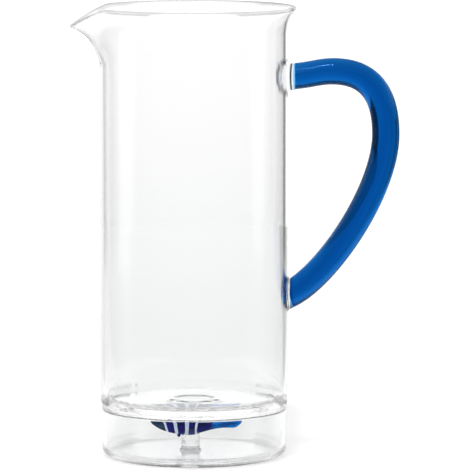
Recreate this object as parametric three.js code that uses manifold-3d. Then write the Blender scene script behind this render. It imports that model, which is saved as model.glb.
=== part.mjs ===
// Tall glass jug with a drawn spout, a blue glass handle and a closed display base
// that holds a small glass fish on a clear post.
// Millimetres, +Z up. The origin is the centre of the base's flat bottom, on the tube's axis.
// The handle is towards +X and the spout towards -X.

import * as THREE from 'three';
import { mergeVertices } from 'three/addons/utils/BufferGeometryUtils.js';
import Module from 'manifold-3d';

const wasm = await Module();
wasm.setup();

// Fits
const fusedGap = 0.3;
const cutOverrun = 5;

// Tube, rim and floor of the vessel
const tubeRadius = 50;
const wallThickness = 2.3;
const jugHeight = 240;
const rimFlare = 4.2;
const rimFlareHeight = 14;
const floorThickness = 4;
const floorFillet = 4.5;
const heelRadius = 4.6;

// Raised ring in the middle of the vessel's floor, left where its glass was closed
const floorRingRadius = 12.3;
const floorRingWidth = 7.6;
const floorRingHeight = 0.5;

// Drawn spout
const spoutReach = 12.5;
const spoutDrop = 10.6;
const spoutDepth = 30;
const spoutHalfAngle = THREE.MathUtils.degToRad(36);
const spoutRootPull = { out: 2, down: 6.4 };
const spoutLipPull = { out: 6.4, down: 3.4 };
const spoutSharpness = 1.35;

// Base cup under the floor, a little smaller than the tube
const cupInset = 0.7;
const cupWall = 2.2;
const cupFloor = 2.4;
const cupCorner = 4.8;
const cupInnerCorner = 3.4;
const chamberTop = 26;
const weldFillet = 1.2;
const weldLip = 0.4;

// Post under the fish
const postOffset = -2;
const postRadius = 4.9;
const postFootRadius = 5.9;
const postFootHeight = 2;

// Fish: a round tapering body from nose to tail, with its belly towards the post and its
// back fin just under the chamber's roof
const fishMiddle = 1.15;
const fishLength = 48.9;
const fishHeadroom = 0.6;
const fishBelly = 7.3;
const fishBack = 5.7;
const fishSide = 5;
const fishTailDrop = 3.6;
const fishTailRise = 3.9;
const fishTailSide = 1.3;
const fishLean = 0.36;
const widestShare = 0.42;
const noseShare = 0.395;
const tailRootShare = 0.84;
const tailRoundShare = 0.93;

// Places along the fish where one colour of glass ends and the next begins,
// from the nose, and the name of each stretch
const fishStretches = [
  { name: 'fish_head', endShare: 0.143, colour: 'headBlue' },
  { name: 'fish_band_1', endShare: 0.168, colour: 'bandWhite' },
  { name: 'fish_body_1', endShare: 0.25, colour: 'indigo' },
  { name: 'fish_band_2', endShare: 0.288, colour: 'bandWhite' },
  { name: 'fish_body_2', endShare: 0.378, colour: 'indigo' },
  { name: 'fish_band_3', endShare: 0.421, colour: 'bandWhite' },
  { name: 'fish_body_3', endShare: 0.493, colour: 'indigo' },
  { name: 'fish_band_4', endShare: 0.519, colour: 'bandWhite' },
  { name: 'fish_body_4', endShare: 0.679, colour: 'indigo' },
  { name: 'fish_tail', endShare: 1, colour: 'tailBlue' },
];

// Fins and eyes of the fish
const finThickness = 1.6;
const bellyFinLength = 2.1;
const bellyFinDepth = 1.9;
const backFinLength = 15;
const backFinHeight = 1.7;
const backFinShare = 0.4;
const tailForkDepth = 2.6;
const tailForkHeight = 4.4;
const eyeRadius = 1;
const eyeShare = 0.11;
const eyeLift = 1.9;

// Handle: a solid rod bent in one sweep. Its upper weld hangs from the rim, the lower weld
// and the bends hang from the upper weld, and the bends stand out from the tube's wall.
const rodRadius = 7.1;
const handleTopDrop = 37.4;
const handleSpan = 116;
const handleCrownRise = 2.9;
const handleCrownOut = 23.7;
const handleBowDrop = 30.6;
const handleBowOut = 51.9;
const handleFootAngle = THREE.MathUtils.degToRad(27);
const handleFootPull = 22.5;
const handleRisePull = 6.9;
const crownRisePullShare = 0.325;
const crownPullShare = 0.63;
const bowUpPullShare = 0.7;
const bowDownPullShare = 0.349;

// Clear welds between the rod and the tube. The upper one ends in a flat face. The lower one
// is pressed on, so its face follows the tube's wall.
const upperWeldReach = 3.6;
const upperWeldSpread = 2.6;
const lowerWeldReach = 1.3;
const lowerWeldSpread = 1.2;
const lowerWeldStretch = 1.12;
const weldFlareLength = 2.2;

// Facets
const tubeSides = 80;
const tubeRings = 6;
const arcSteps = 2;
const cutterSides = 144;
const cupSides = 60;
const postSides = 28;
const ringSteps = 4;
const fishSides = 18;
const fishRingSpacing = 1.9;
const finSteps = 6;
const rodArcSteps = 9;
const rodSteps = 46;
const weldSides = 32;
const spoutCrowding = 0.45;

// Sizes that follow from the ones above
const cupRadius = tubeRadius - cupInset;
const cupInside = cupRadius - cupWall;
const vesselFloorTop = chamberTop + floorThickness;
const fishNose = fishMiddle - fishLength / 2;
const fishHeight = chamberTop - fishHeadroom - backFinHeight - fishBack;
const postHeight = fishHeight - fishBelly / 2;
const handleTopHeight = jugHeight - handleTopDrop;
const handleFootHeight = handleTopHeight - handleSpan;
const handleCrownHeight = handleTopHeight + handleCrownRise;
const handleCrownReach = tubeRadius + handleCrownOut;
const handleBowHeight = handleTopHeight - handleBowDrop;
const handleBowReach = tubeRadius + handleBowOut;

// The belly fin ends just short of the post
const bellyFinMiddle = postOffset - postRadius - fusedGap - bellyFinLength / 2;
const bellyFinShare = (bellyFinMiddle - fishNose) / fishLength;

const finish = {
  clear: { color: 0xeef3f4, roughness: 0.04, metalness: 0 },
  handleBlue: { color: 0x0a5aa6, roughness: 0.06, metalness: 0 },
  headBlue: { color: 0x37506f, roughness: 0.1, metalness: 0 },
  indigo: { color: 0x2e2378, roughness: 0.1, metalness: 0 },
  bandWhite: { color: 0xc4d2ea, roughness: 0.12, metalness: 0 },
  tailBlue: { color: 0x1b5fa8, roughness: 0.08, metalness: 0 },
  eyeBlack: { color: 0x10131c, roughness: 0.08, metalness: 0 },
};

const jug = new THREE.Group();

function place(name, geometry, colour) {
  const mesh = new THREE.Mesh(geometry, new THREE.MeshStandardMaterial(finish[colour]));
  mesh.name = name;
  jug.add(mesh);
  return mesh;
}

// Solids and plain geometries
function toSolid(geometry) {
  const bare = geometry.clone();
  bare.deleteAttribute('normal');
  bare.deleteAttribute('uv');
  const merged = mergeVertices(bare);
  return new wasm.Manifold(new wasm.Mesh({
    numProp: 3,
    vertProperties: new Float32Array(merged.attributes.position.array),
    triVerts: new Uint32Array(merged.index.array),
  }));
}

function toGeometry(solid) {
  const mesh = solid.getMesh();
  const geometry = new THREE.BufferGeometry();
  geometry.setAttribute('position', new THREE.BufferAttribute(mesh.vertProperties, 3));
  geometry.setIndex(new THREE.BufferAttribute(mesh.triVerts, 1));
  geometry.computeVertexNormals();
  return geometry;
}

// Revolves a profile of (radius, height) points about +Z
function revolve(points, sides) {
  return new THREE.LatheGeometry(points, sides).rotateX(Math.PI / 2);
}

// Smooth rise from 0 to 1
function ease(share) {
  const bounded = THREE.MathUtils.clamp(share, 0, 1);
  return bounded * bounded * (3 - 2 * bounded);
}

// Vessel: one worked piece of tube, closed below by its floor and opened above in a flare
function vesselProfile() {
  const flareAngle = 2 * Math.atan(rimFlare / rimFlareHeight);
  const flareRadius = rimFlareHeight / Math.sin(flareAngle);
  const lipRadius = wallThickness / 2;
  const flareStart = jugHeight - lipRadius - (flareRadius + lipRadius) * Math.sin(flareAngle);
  const flareCentre = tubeRadius + flareRadius;
  const lipCentre = flareCentre - (flareRadius + lipRadius) * Math.cos(flareAngle);
  const spoutRoot = jugHeight - spoutDepth;
  const heelCentre = tubeRadius - heelRadius;
  const filletCentre = tubeRadius - wallThickness - floorFillet;

  const profile = new THREE.Path();
  profile.moveTo(0, chamberTop);
  profile.lineTo(heelCentre, chamberTop);
  profile.absarc(heelCentre, chamberTop + heelRadius, heelRadius, -Math.PI / 2, 0, false);
  for (let ring = 0; ring <= tubeRings; ring += 1) {
    profile.lineTo(tubeRadius, THREE.MathUtils.lerp(spoutRoot, flareStart, ring / tubeRings));
  }
  profile.absarc(flareCentre, flareStart, flareRadius, Math.PI, Math.PI - flareAngle, true);
  profile.absarc(lipCentre, jugHeight - lipRadius, lipRadius, -flareAngle, Math.PI - flareAngle, false);
  profile.absarc(
    flareCentre, flareStart, flareRadius + wallThickness, Math.PI - flareAngle, Math.PI, false);
  for (let ring = tubeRings; ring >= 0; ring -= 1) {
    profile.lineTo(
      tubeRadius - wallThickness,
      THREE.MathUtils.lerp(spoutRoot, flareStart, ring / tubeRings));
  }
  profile.absarc(
    filletCentre, vesselFloorTop + floorFillet, floorFillet, 0, -Math.PI / 2, true);
  for (let step = ringSteps; step >= 0; step -= 1) {
    const across = step / ringSteps;
    const swell = Math.sin(Math.PI * across) ** 2;
    profile.lineTo(
      floorRingRadius + floorRingWidth * (across - 1 / 2),
      vesselFloorTop + floorRingHeight * swell);
  }
  profile.lineTo(0, vesselFloorTop);
  return profile.getPoints(arcSteps);
}

// The spout's outline at the middle of the pull, from the tube to the tip of the lip
function spoutLine() {
  const start = new THREE.Vector2(0, -spoutDepth);
  const tip = new THREE.Vector2(spoutReach, -spoutDrop);
  return new THREE.CubicBezierCurve(
    start,
    new THREE.Vector2(start.x + spoutRootPull.out, start.y + spoutRootPull.down),
    new THREE.Vector2(tip.x - spoutLipPull.out, tip.y - spoutLipPull.down),
    tip);
}

// Pulls the wall out and down towards -X, most at the rim and nothing at the spout's root,
// and crowds the facets towards the spout
function drawSpout(geometry) {
  const line = spoutLine();
  const position = geometry.attributes.position;
  for (let index = 0; index < position.count; index += 1) {
    const x = position.getX(index);
    const y = position.getY(index);
    const z = position.getZ(index);
    const radius = Math.hypot(x, y);
    const even = Math.atan2(y, -x);
    const angle = even - spoutCrowding * Math.sin(even);
    const share = THREE.MathUtils.clamp(1 + (z - jugHeight) / spoutDepth, 0, 1);
    const bell = (1 + Math.cos(Math.PI * Math.min(1, Math.abs(angle) / spoutHalfAngle))) / 2;
    const pull = bell ** spoutSharpness;
    const drawn = line.getPoint(share);
    const out = radius + pull * drawn.x;
    const down = pull * (drawn.y + spoutDepth * (1 - share));
    position.setXYZ(index, -out * Math.cos(angle), out * Math.sin(angle), z + down);
  }
  geometry.computeVertexNormals();
  return geometry;
}

function makeVessel() {
  place('vessel', drawSpout(revolve(vesselProfile(), tubeSides)), 'clear');
}

// Base cup: its thickened top edge lies flat against the vessel's underside
function makeBaseCup() {
  const profile = new THREE.Path();
  const innerCorner = cupInside - cupInnerCorner;
  const filletCentre = cupInside - weldFillet;
  const filletTop = chamberTop - weldLip;
  profile.moveTo(0, 0);
  profile.lineTo(cupRadius - cupCorner, 0);
  profile.absarc(cupRadius - cupCorner, cupCorner, cupCorner, -Math.PI / 2, 0, false);
  profile.lineTo(cupRadius, chamberTop);
  profile.lineTo(filletCentre, chamberTop);
  profile.absarc(filletCentre, filletTop - weldFillet, weldFillet, Math.PI / 2, 0, true);
  profile.absarc(innerCorner, cupFloor + cupInnerCorner, cupInnerCorner, 0, -Math.PI / 2, true);
  profile.lineTo(0, cupFloor);
  place('base_cup', revolve(profile.getPoints(arcSteps), cupSides), 'clear');
}

// Seam bead: fills the notch between the vessel's rounded heel and the cup's top edge
function makeSeamBead() {
  const centre = tubeRadius - heelRadius;
  const radius = heelRadius + fusedGap;
  const lowAngle = -Math.asin(heelRadius / radius);
  const highAngle = -Math.acos((cupRadius - centre) / radius);
  const profile = new THREE.Path();
  profile.moveTo(cupRadius, chamberTop);
  profile.lineTo(cupRadius, chamberTop + heelRadius + radius * Math.sin(highAngle));
  profile.absarc(centre, chamberTop + heelRadius, radius, highAngle, lowAngle, true);
  profile.lineTo(cupRadius, chamberTop);
  place('seam_bead', revolve(profile.getPoints(arcSteps), cupSides), 'clear');
}

// Half sizes of the fish's section at a share of its length from the nose
function fishSection(share) {
  const along = fishLength * share;
  let belly = fishBelly;
  let back = fishBack;
  let side = fishSide;
  if (share < noseShare) {
    const round = Math.sqrt(Math.max(0, 1 - ((noseShare - share) / noseShare) ** 2));
    belly *= round;
    back *= round;
    side *= round;
  } else if (share > widestShare) {
    const taper = 1 - ease((share - widestShare) / (tailRootShare - widestShare));
    belly = fishTailDrop + (fishBelly - fishTailDrop) * taper;
    back = fishTailRise + (fishBack - fishTailRise) * taper;
    side = fishTailSide + (fishSide - fishTailSide) * taper;
  }
  if (share > tailRoundShare) {
    const end = (share - tailRoundShare) / (1 - tailRoundShare);
    const round = Math.sqrt(Math.max(0, 1 - end * end));
    belly *= round;
    back *= round;
    side *= round;
  }
  return { along, belly, back, side };
}

// How far the sections lean along the fish, so that the bands fan out over the belly
function leanAt(share) {
  return fishLean * Math.sin(Math.PI * (share - noseShare));
}

// One point on the fish's skin, or at a clearance outside it
function fishPoint(share, angle, clearance) {
  const section = fishSection(share);
  const up = Math.sin(angle);
  const reach = (up > 0 ? section.back : section.belly) + clearance;
  const rise = reach * up;
  return new THREE.Vector3(
    fishNose + section.along + leanAt(share) * rise,
    (section.side + clearance) * Math.cos(angle),
    fishHeight + rise);
}

// Solid slice of the fish between two shares of its length, closed by flat ends
function fishSlice(from, to, clearance) {
  const rings = Math.max(2, Math.ceil(((to - from) * fishLength) / fishRingSpacing));
  const positions = [];
  const indices = [];
  const centres = [];
  for (let ring = 0; ring <= rings; ring += 1) {
    const share = spacedShare(from, to, ring / rings);
    for (let step = 0; step < fishSides; step += 1) {
      positions.push(...fishPoint(share, (2 * Math.PI * step) / fishSides, clearance));
    }
  }
  for (const share of [from, to]) {
    centres.push(positions.length / 3);
    positions.push(fishNose + fishLength * share, 0, fishHeight);
  }
  for (let ring = 0; ring < rings; ring += 1) {
    for (let step = 0; step < fishSides; step += 1) {
      const next = (step + 1) % fishSides;
      const low = ring * fishSides;
      const high = low + fishSides;
      indices.push(low + step, low + next, high + next);
      indices.push(low + step, high + next, high + step);
    }
  }
  for (let step = 0; step < fishSides; step += 1) {
    const next = (step + 1) % fishSides;
    const last = rings * fishSides;
    indices.push(centres[0], next, step);
    indices.push(centres[1], last + step, last + next);
  }
  const geometry = new THREE.BufferGeometry();
  geometry.setAttribute('position', new THREE.Float32BufferAttribute(positions, 3));
  geometry.setIndex(indices);
  geometry.computeVertexNormals();
  return geometry;
}

// Crowds the rings of a slice towards the nose's and the tail's round ends
function spacedShare(from, to, across) {
  let eased = across;
  if (from === 0) {
    eased = 1 - Math.cos((Math.PI / 2) * across);
  } else if (to === 1) {
    eased = Math.sin((Math.PI / 2) * across);
  }
  return from + (to - from) * eased;
}

function wholeFish(clearance) {
  return toSolid(fishSlice(0, 1, clearance));
}

// Ball let into the side of the head, with its twin on the other side
function eyeAt(side, radius) {
  const section = fishSection(eyeShare);
  const out = section.side * Math.sqrt(1 - (eyeLift / section.back) ** 2);
  return new THREE.SphereGeometry(radius, finSteps * 2, finSteps).rotateX(Math.PI / 2).translate(
    fishNose + section.along + leanAt(eyeShare) * eyeLift, side * out, fishHeight + eyeLift);
}

// Wedge that forks the end of the tail
function tailFork() {
  const tip = fishNose + fishLength;
  const outline = new THREE.Shape();
  outline.moveTo(tip - tailForkDepth, fishTailRise / 2);
  outline.lineTo(tip + cutOverrun, (fishTailRise - tailForkHeight) / 2 - cutOverrun);
  outline.lineTo(tip + cutOverrun, (fishTailRise + tailForkHeight) / 2 + cutOverrun);
  return new THREE.ExtrudeGeometry(outline, { depth: 2 * fishSide, bevelEnabled: false })
    .rotateX(Math.PI / 2)
    .translate(0, fishSide, fishHeight);
}

function makeFishBody() {
  let from = 0;
  for (const stretch of fishStretches) {
    let geometry = fishSlice(from, stretch.endShare, 0);
    if (from === 0) {
      const left = toSolid(eyeAt(1, eyeRadius + fusedGap));
      const right = toSolid(eyeAt(-1, eyeRadius + fusedGap));
      geometry = toGeometry(toSolid(geometry).subtract(left).subtract(right));
    } else if (stretch.endShare === 1) {
      geometry = toGeometry(toSolid(geometry).subtract(toSolid(tailFork())));
    }
    place(stretch.name, geometry, stretch.colour);
    from = stretch.endShare;
  }
}

function makeFishEyes() {
  place('fish_eye_left', eyeAt(-1, eyeRadius), 'eyeBlack');
  place('fish_eye_right', eyeAt(1, eyeRadius), 'eyeBlack');
}

// Fin outline in the fish's middle plane: a swept leaf that rises from the skin by its height
function finBlade(share, length, height, direction) {
  const middle = fishNose + fishLength * share;
  const section = fishSection(share);
  const skin = direction > 0 ? section.back : section.belly;
  const outline = new THREE.Shape();
  outline.moveTo(middle - length / 2, 0);
  outline.lineTo(middle - length / 2, direction * skin);
  outline.bezierCurveTo(
    middle - length / 4, direction * (skin + height),
    middle + length / 4, direction * (skin + height),
    middle + length / 2, direction * (skin + height / 2));
  outline.lineTo(middle + length / 2, 0);
  return new THREE.ExtrudeGeometry(outline, {
    depth: finThickness,
    bevelEnabled: false,
    curveSegments: finSteps,
  }).rotateX(Math.PI / 2).translate(0, finThickness / 2, fishHeight);
}

function makeFishFins() {
  const skin = wholeFish(fusedGap);
  const belly = toSolid(finBlade(bellyFinShare, bellyFinLength, bellyFinDepth, -1));
  const back = toSolid(finBlade(backFinShare, backFinLength, backFinHeight, 1));
  place('fish_belly_fin', toGeometry(belly.subtract(skin)), 'indigo');
  place('fish_back_fin', toGeometry(back.subtract(skin)), 'indigo');
}

// Post: clear rod with a flared foot on the cup's floor, its top hollowed to the fish's belly
function makePost() {
  const profile = new THREE.Path();
  profile.moveTo(0, cupFloor);
  profile.lineTo(postFootRadius, cupFloor);
  profile.bezierCurveTo(
    postFootRadius, cupFloor + postFootHeight / 2,
    postRadius, cupFloor + postFootHeight / 2,
    postRadius, cupFloor + postFootHeight);
  profile.lineTo(postRadius, postHeight);
  profile.lineTo(0, postHeight);
  const rod = revolve(profile.getPoints(arcSteps * 2), postSides).translate(postOffset, 0, 0);
  place('post', toGeometry(toSolid(rod).subtract(wholeFish(fusedGap))), 'clear');
}

// The rod's middle line in the X-Z plane, from the upper weld round the bow to the lower weld
function handleLine() {
  const at = (reach, height) => new THREE.Vector3(reach, 0, height);
  const bowDepth = handleBowReach - handleCrownReach;
  const crownDrop = handleCrownHeight - handleBowHeight;
  const bowDrop = handleBowHeight - handleFootHeight;
  const footReach = tubeRadius - cutOverrun;
  const footRun = cutOverrun + lowerWeldReach;
  const line = new THREE.CurvePath();
  line.add(new THREE.CubicBezierCurve3(
    at(tubeRadius - cutOverrun, handleTopHeight),
    at(tubeRadius + upperWeldReach + handleRisePull, handleTopHeight),
    at(handleCrownReach - bowDepth * crownRisePullShare, handleCrownHeight),
    at(handleCrownReach, handleCrownHeight)));
  line.add(new THREE.CubicBezierCurve3(
    at(handleCrownReach, handleCrownHeight),
    at(handleCrownReach + bowDepth * crownPullShare, handleCrownHeight),
    at(handleBowReach, handleBowHeight + crownDrop * bowUpPullShare),
    at(handleBowReach, handleBowHeight)));
  line.add(new THREE.CubicBezierCurve3(
    at(handleBowReach, handleBowHeight),
    at(handleBowReach, handleBowHeight - bowDrop * bowDownPullShare),
    at(
      tubeRadius + lowerWeldReach + handleFootPull * Math.cos(handleFootAngle),
      handleFootHeight + handleFootPull * Math.sin(handleFootAngle)),
    at(tubeRadius + lowerWeldReach, handleFootHeight)));
  line.add(new THREE.LineCurve3(
    at(tubeRadius + lowerWeldReach, handleFootHeight),
    at(footReach, handleFootHeight - footRun * Math.tan(handleFootAngle))));
  return line;
}

// Block that trims the rod square to the tube, at the upper weld's face
function squareCutter(reach, height) {
  const size = 4 * rodRadius;
  const block = new THREE.BoxGeometry(reach, size, size).translate(reach / 2, 0, height);
  return toSolid(block);
}

// Upright cylinder on the tube's axis, for faces that follow the tube's wall
function wallCutter(radius, height) {
  const tall = 4 * (rodRadius + upperWeldSpread);
  const cylinder = new THREE.CylinderGeometry(radius, radius, tall, cutterSides)
    .rotateX(Math.PI / 2)
    .translate(0, 0, height);
  return toSolid(cylinder);
}

function makeHandle() {
  const round = new THREE.Shape();
  round.absarc(0, 0, rodRadius, 0, 2 * Math.PI, false);
  const rod = new THREE.ExtrudeGeometry(round, {
    steps: rodSteps,
    curveSegments: rodArcSteps,
    extrudePath: handleLine(),
  });
  const upper = squareCutter(tubeRadius + upperWeldReach, handleTopHeight);
  const lower = wallCutter(tubeRadius + lowerWeldReach + fusedGap, handleFootHeight);
  place('handle', toGeometry(toSolid(rod).subtract(upper).subtract(lower)), 'handleBlue');
}

// Clear weld: a collar that flares onto the tube, ends in a flat face towards the rod and is
// hollowed to the tube's wall
function weldCollar(reach, height, spread, stretch) {
  const face = tubeRadius + reach;
  const flareEnd = Math.min(face, tubeRadius + weldFlareLength);
  const footRadius = rodRadius + spread;
  const profile = new THREE.Path();
  profile.moveTo(0, tubeRadius - cutOverrun);
  profile.lineTo(footRadius, tubeRadius - cutOverrun);
  profile.lineTo(footRadius, tubeRadius - wallThickness / 2);
  profile.bezierCurveTo(
    footRadius, THREE.MathUtils.lerp(tubeRadius, flareEnd, 1 / 2),
    rodRadius, THREE.MathUtils.lerp(tubeRadius, flareEnd, 1 / 2),
    rodRadius, flareEnd);
  profile.lineTo(rodRadius, face);
  profile.lineTo(0, face);
  const collar = new THREE.LatheGeometry(profile.getPoints(arcSteps * 2), weldSides)
    .rotateZ(-Math.PI / 2)
    .scale(1, 1, stretch)
    .translate(0, 0, height);
  return toSolid(collar).subtract(wallCutter(tubeRadius + fusedGap, height));
}

function makeWelds() {
  const upper = weldCollar(upperWeldReach, handleTopHeight, upperWeldSpread, 1);
  const lower = weldCollar(
    lowerWeldReach + fusedGap, handleFootHeight, lowerWeldSpread, lowerWeldStretch)
    .intersect(wallCutter(tubeRadius + lowerWeldReach, handleFootHeight));
  place('handle_weld_upper', toGeometry(upper), 'clear');
  place('handle_weld_lower', toGeometry(lower), 'clear');
}

makeVessel();
makeSeamBead();
makeBaseCup();
makePost();
makeFishBody();
makeFishFins();
makeFishEyes();
makeHandle();
makeWelds();

export default jug;
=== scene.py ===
"""Glass jug with a drawn spout, a blue handle and a small glass fish in its closed base.

Every glass piece is a closed surface over a grid, in metres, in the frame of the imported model:
the handle is towards +X, the spout towards -X and the camera looks along +Y.
"""

import math

import bpy
import numpy as np
from bpy.props import FloatProperty, FloatVectorProperty, IntProperty, PointerProperty
from bpy.types import Operator, Panel, PropertyGroup
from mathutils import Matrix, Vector


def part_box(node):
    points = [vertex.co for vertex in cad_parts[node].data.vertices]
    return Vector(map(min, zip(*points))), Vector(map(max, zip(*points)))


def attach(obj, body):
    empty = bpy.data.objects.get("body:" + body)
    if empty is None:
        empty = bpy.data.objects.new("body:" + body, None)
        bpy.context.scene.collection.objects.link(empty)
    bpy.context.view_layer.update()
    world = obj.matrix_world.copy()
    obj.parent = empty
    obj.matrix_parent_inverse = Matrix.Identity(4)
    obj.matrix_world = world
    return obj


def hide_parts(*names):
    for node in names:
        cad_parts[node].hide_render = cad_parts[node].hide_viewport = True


bl_info = {
    "name": "Glass jug with a display base",
    "version": (1, 0, 0),
    "blender": (4, 5, 0),
    "location": "View3D > Sidebar > Jug",
    "description": "Builds the glass, the enamel fish and the studio of a jug with a closed base",
    "category": "Object",
}

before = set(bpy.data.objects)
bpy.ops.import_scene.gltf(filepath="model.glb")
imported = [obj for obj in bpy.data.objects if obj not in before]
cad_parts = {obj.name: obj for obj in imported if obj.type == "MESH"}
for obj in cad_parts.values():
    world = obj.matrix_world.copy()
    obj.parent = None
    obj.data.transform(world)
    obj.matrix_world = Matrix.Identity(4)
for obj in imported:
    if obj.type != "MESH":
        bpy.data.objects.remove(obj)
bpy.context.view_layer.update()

MM = 0.001


def middle_of(node):
    """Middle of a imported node's box: half the sum of its two corners."""
    low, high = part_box(node)
    return [(low[i] + high[i]) / 2 for i in range(3)]


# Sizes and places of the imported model
JUG_HEIGHT = 240 * MM
CUP_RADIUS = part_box("base_cup")[1].y
CHAMBER_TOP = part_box("base_cup")[1].z
POST_X = middle_of("post")[0]
FISH_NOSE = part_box("fish_head")[0].x
FISH_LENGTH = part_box("fish_tail")[1].x - FISH_NOSE
UPPER_WELD_Z = middle_of("handle_weld_upper")[2]
LOWER_WELD_Z = middle_of("handle_weld_lower")[2]

# How fine the grids are
ROUND_COLUMNS = 320
CUP_COLUMNS = 256
POST_COLUMNS = 72
FISH_COLUMNS = 64
FIN_COLUMNS = 32
ROD_COLUMNS = 96
ROD_ROWS = 260
TABLE_COLUMNS = 128
SHARP_ANGLE = math.radians(32)


def size(name, description, millimetres):
    """A length, with its default in millimetres."""
    return FloatProperty(
        name=name, description=description, default=millimetres * MM, min=0.0,
        precision=5, unit="LENGTH")


def hue(name, description, *default):
    """A colour, with its default in red, green and blue."""
    return FloatVectorProperty(
        name=name, description=description, default=default, size=3, min=0.0, max=1.0,
        subtype="COLOR")


def level(name, description, default):
    """A brightness, power or share from 0 up."""
    return FloatProperty(name=name, description=description, default=default, min=0.0)


class JugSizes(PropertyGroup):
    """Sizes of the clear glass."""

    tube_radius: size("Tube radius", "Outer radius of the glass tube", 50)
    wall: size("Wall", "Thickness of the tube's wall", 2.3)
    rim_flare: size("Rim flare", "How far the rim stands out from the tube", 4.2)
    rim_flare_height: size("Rim flare height", "Height of the flared part", 14)
    floor_thickness: size("Floor", "Thickness of the jug's floor", 4)
    floor_fillet: size("Floor fillet", "Radius between floor and wall", 4.5)
    heel_radius: size("Heel", "Outer radius under the jug's floor", 4.6)
    ring_radius: size("Floor ring", "Radius of the raised ring on the floor", 12.3)
    ring_width: size("Floor ring width", "Width of the raised ring", 7.6)
    ring_height: size("Floor ring height", "How far the ring stands up", 0.5)
    spout_reach: size("Spout reach", "How far the lip is pulled out", 12.5)
    spout_drop: size("Spout drop", "How far the lip is pulled down", 10.6)
    spout_depth: size("Spout depth", "Height of the part that is drawn", 30)
    spout_half_angle: FloatProperty(
        name="Spout half angle", description="Half of the angle that the spout takes up",
        default=math.radians(36), min=0.05, max=1.5, subtype="ANGLE")
    cup_wall: size("Cup wall", "Thickness of the base cup's wall", 2.2)
    cup_floor: size("Cup floor", "Thickness of the base cup's floor", 2.4)
    cup_corner: size("Cup corner", "Outer radius at the bottom", 4.8)
    cup_inner_corner: size("Cup inner corner", "Inner radius at the bottom", 3.4)
    cup_weld: size("Cup weld", "Inner radius under the chamber's roof", 1.2)
    post_radius: size("Post radius", "Radius of the post under the fish", 4.9)
    post_foot_radius: size("Post foot", "Radius of the post's foot", 5.9)


class FishSizes(PropertyGroup):
    """Sizes of the fish."""

    axis_height: size("Axis height", "Height of the fish's middle line", 18)
    belly: size("Belly", "Depth of the belly below the middle line", 7.3)
    back: size("Back", "Height of the back above the middle line", 5.7)
    side: size("Side", "Half of the body's width", 5)
    tail_drop: size("Tail drop", "Depth of the tail below the middle line", 3.6)
    tail_rise: size("Tail rise", "Height of the tail above the middle line", 3.9)
    tail_side: size("Tail side", "Half of the tail's width", 1.3)
    band_swell: size("Band swell", "How far the white bands stand out", 0.12)
    eye_radius: size("Eye radius", "Radius of the two eyes", 1)


class HandleSizes(PropertyGroup):
    """Sizes of the handle and its welds."""

    rod_radius: size("Rod radius", "Radius of the blue rod at its top", 6.95)
    foot_radius: size("Foot radius", "Radius of the blue rod at its foot", 7.3)
    top_height: size("Top height", "Height of the upper weld's middle", 202.6)
    foot_height: size("Foot height", "Height of the rod at the lower weld", 86.6)
    crown_height: size("Crown height", "Highest point of the middle line", 205.5)
    crown_reach: size("Crown reach", "Place of the highest point along X", 73.7)
    bow_height: size("Bow height", "Height of the outermost point", 172)
    bow_reach: size("Bow reach", "Place of the outermost point along X", 101.9)
    upper_reach: size("Upper weld", "Length of the upper weld from the tube", 3.6)
    lower_reach: size("Lower weld", "Length of the lower weld from the tube", 1.3)


class JugColours(PropertyGroup):
    """Colours of the glass and of the table."""

    clear_top: hue("Clear, top", "Tint of the clear glass at the rim", 1, 1, 1)
    # Clear, base is a painted shade: a little greyer than the top, so the clear glass darkens
    # towards the base
    clear_base: hue("Clear, base", "Tint of the clear glass near the base", 0.985, 0.99, 0.99)
    # Tint of the painted shade: dark lines painted in the welds and round the rim, and grey
    # painted on the heel and the base cup
    thin_line: hue(
        "Thin line", "Tint of the dark lines in the welds and round the rim, and of grey glass",
        0.03, 0.035, 0.05)
    haze: hue("Haze", "Tint of the clear weld where it meets the blue rod", 0.4, 0.7, 0.9)
    blue: hue("Blue", "Colour that the handle's glass lets through", 0, 0.605, 0.829)
    blue_end: hue("Blue, end", "Tint of the rod where it ends on the lower weld", 0.02, 0.05, 0.2)
    slate: hue("Slate", "Glass of the fish's head", 0.008, 0.028, 0.08)
    slate_streak: hue("Slate streak", "Streaks of the head", 0.035, 0.07, 0.135)
    indigo: hue("Indigo", "Glass of the fish's body", 0.014, 0.011, 0.2)
    indigo_streak: hue("Indigo streak", "Streaks of the body", 0.006, 0.012, 0.085)
    white: hue("White", "Glass of the fish's bands", 0.62, 0.74, 1)
    white_streak: hue("White streak", "Streaks of the bands", 0.78, 0.92, 1)
    tail: hue("Tail", "Glass of the fish's tail", 0.004, 0.21, 0.72)
    tail_streak: hue("Tail streak", "Streaks of the tail", 0.004, 0.05, 0.26)
    eye: hue("Eye", "Glass of the two eyes", 0.006, 0.008, 0.015)
    eye_streak: hue("Eye streak", "Streaks of the eyes", 0.02, 0.025, 0.04)
    floor: hue("Table", "Colour of the white table top", 0.5, 0.5, 0.5)
    # Painted shade: a dark cloth painted on the table in front of the jug, for the glass to
    # reflect
    front_shade_cloth: hue("Cloth", "Colour of the cloth in front of the jug", 0.02, 0.02, 0.02)


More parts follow.
